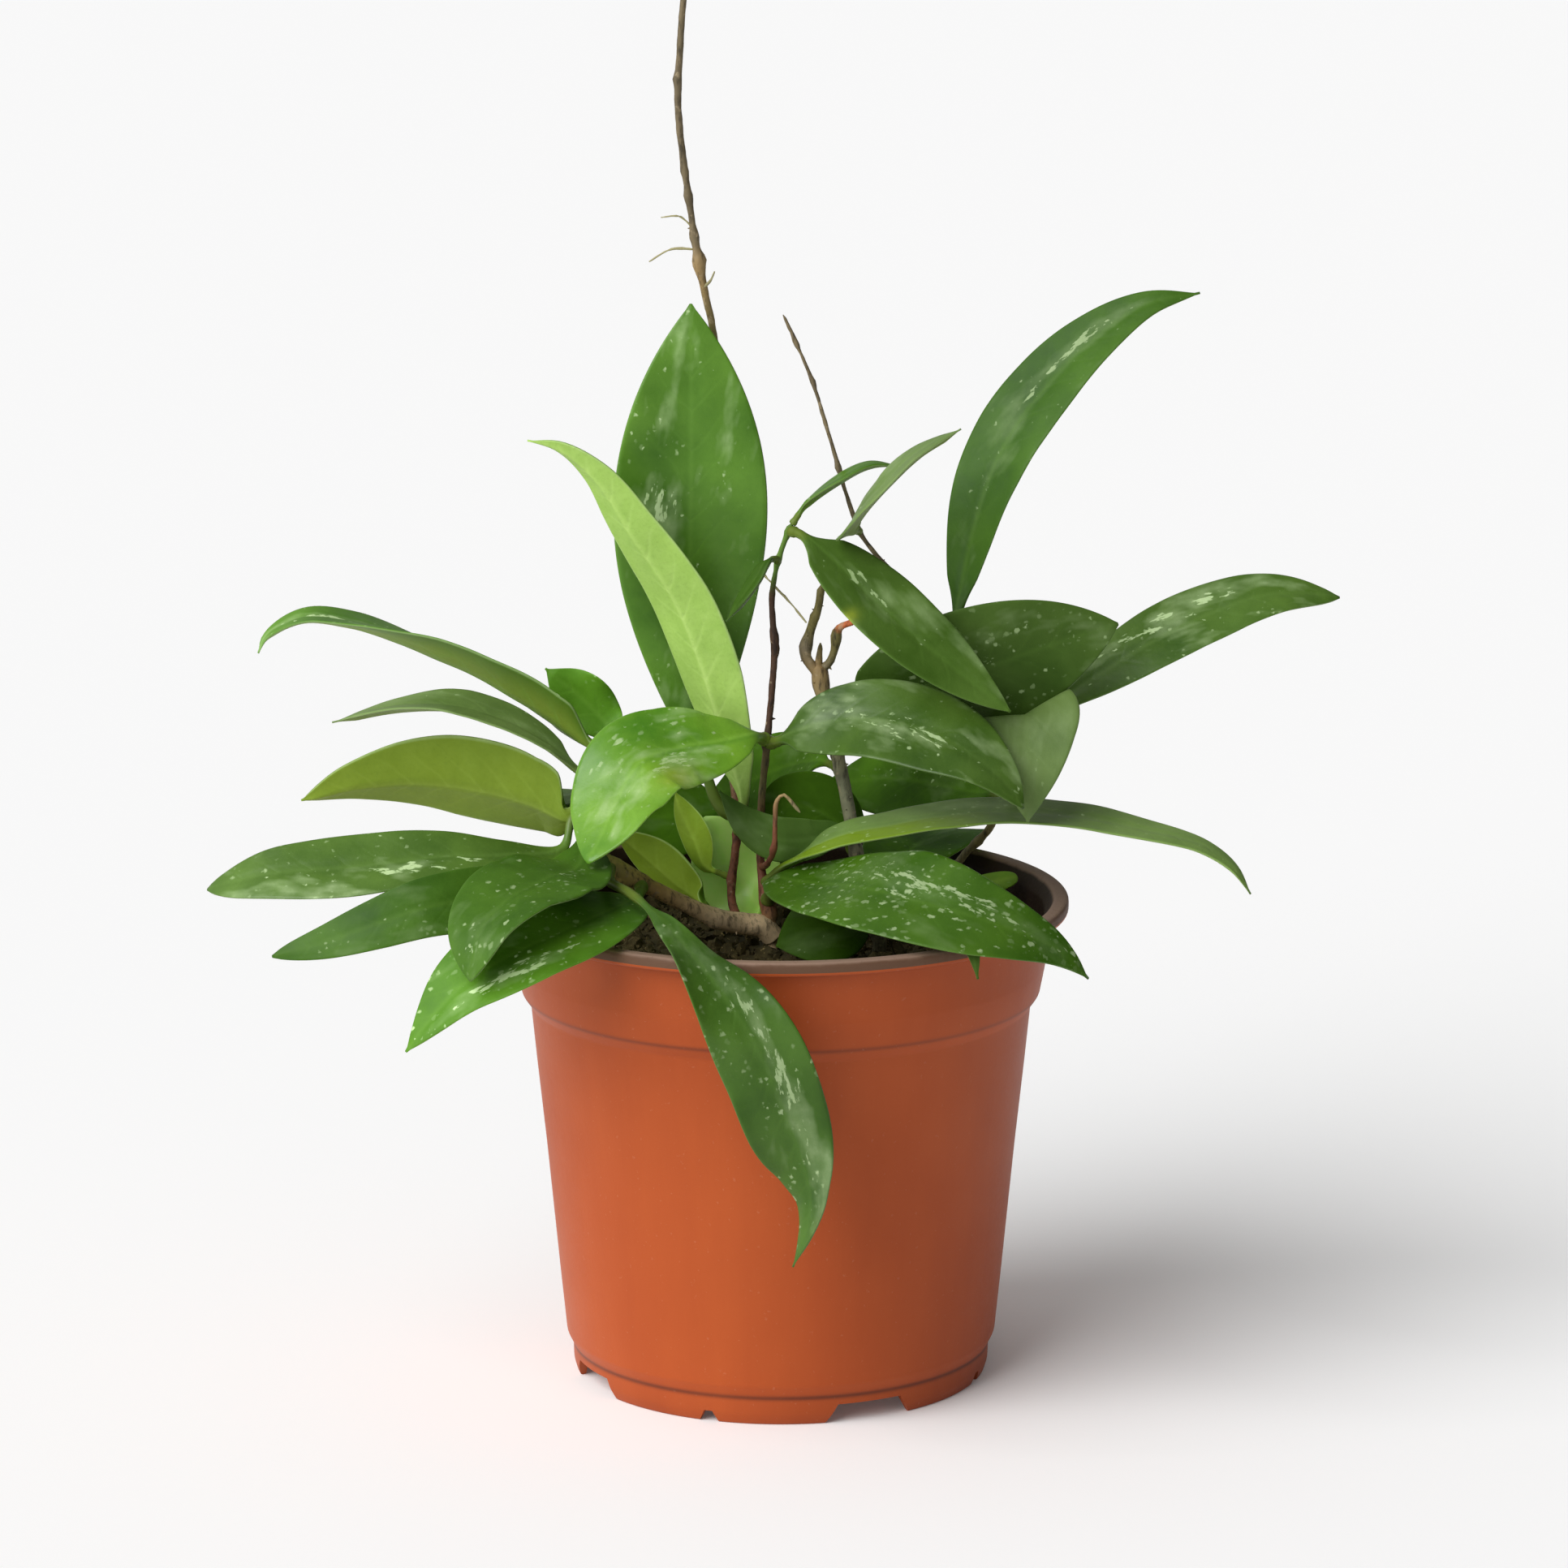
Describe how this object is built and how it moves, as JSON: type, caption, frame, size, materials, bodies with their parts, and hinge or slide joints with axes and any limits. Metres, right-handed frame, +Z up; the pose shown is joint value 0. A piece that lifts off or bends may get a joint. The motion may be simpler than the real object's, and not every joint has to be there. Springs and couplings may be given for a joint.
{
  "type": "potted hoya plant",
  "caption": "Young wax plant with long pointed fleshy leaves and bare climbing stems, growing in a plain round terracotta-coloured plastic nursery pot.",
  "frame": {"origin": "centre of the pot's foot, on the surface it stands on", "axes": "+Z up the pot's axis, -Y towards the front, +X to the right seen from the front"},
  "size_m": [0.2123, 0.1292, 0.2707],
  "materials": {
    "pot_plastic": "satin terracotta-coloured plastic, greyer on the lip and inside",
    "soil": "matt dark potting mix",
    "bark": "matt grey-brown bark, green on the young shoots",
    "leaf_dark": "waxy dark green with pale silvery flecks",
    "leaf_bright": "waxy light green",
    "leaf_olive": "waxy olive green underside"
  },
  "bodies": {
    "root": {"pot": "pot_plastic", "soil": "soil", "stem_main": "bark", "stem_right": "bark", "stem_far_right": "bark", "leaf_back_upright": "leaf_dark", "leaf_pale_upright": "leaf_olive", "leaf_centre_left": "leaf_bright", "leaf_centre_right": "leaf_dark", "leaf_upper_right": "leaf_dark", "leaf_far_right": "leaf_dark", "leaf_dark_right": "leaf_dark", "leaf_diagonal": "leaf_dark", "leaf_drooping_right": "leaf_dark", "leaf_vine_tip": "leaf_dark", "leaf_slim_right": "leaf_dark", "leaf_vine_small": "leaf_dark", "leaf_left_top": "leaf_dark", "leaf_left_second": "leaf_dark", "leaf_left_olive": "leaf_olive", "leaf_left_long": "leaf_dark", "leaf_left_low": "leaf_dark", "leaf_left_broad": "leaf_dark", "leaf_over_rim_left": "leaf_dark", "leaf_hanging_front": "leaf_dark", "leaf_front_right": "leaf_dark", "leaf_arching_right": "leaf_dark", "leaf_blue_green": "leaf_dark", "leaf_glossy_inner": "leaf_bright", "leaf_behind_left": "leaf_dark", "leaf_inner_low": "leaf_dark", "leaf_olive_inner": "leaf_olive", "leaf_sliver_inner": "leaf_olive", "leaf_under_front": "leaf_dark", "leaf_inner_stub": "leaf_dark", "leaf_back_right": "leaf_dark", "leaf_inner_left": "leaf_dark", "leaf_inner_right": "leaf_dark", "leaf_back_centre": "leaf_dark", "leaf_back_low": "leaf_dark", "leaf_back_left": "leaf_dark", "leaf_back_high": "leaf_dark", "leaf_back_far_right": "leaf_dark", "leaf_back_far_left": "leaf_dark"}
  },
  "joints": []
}
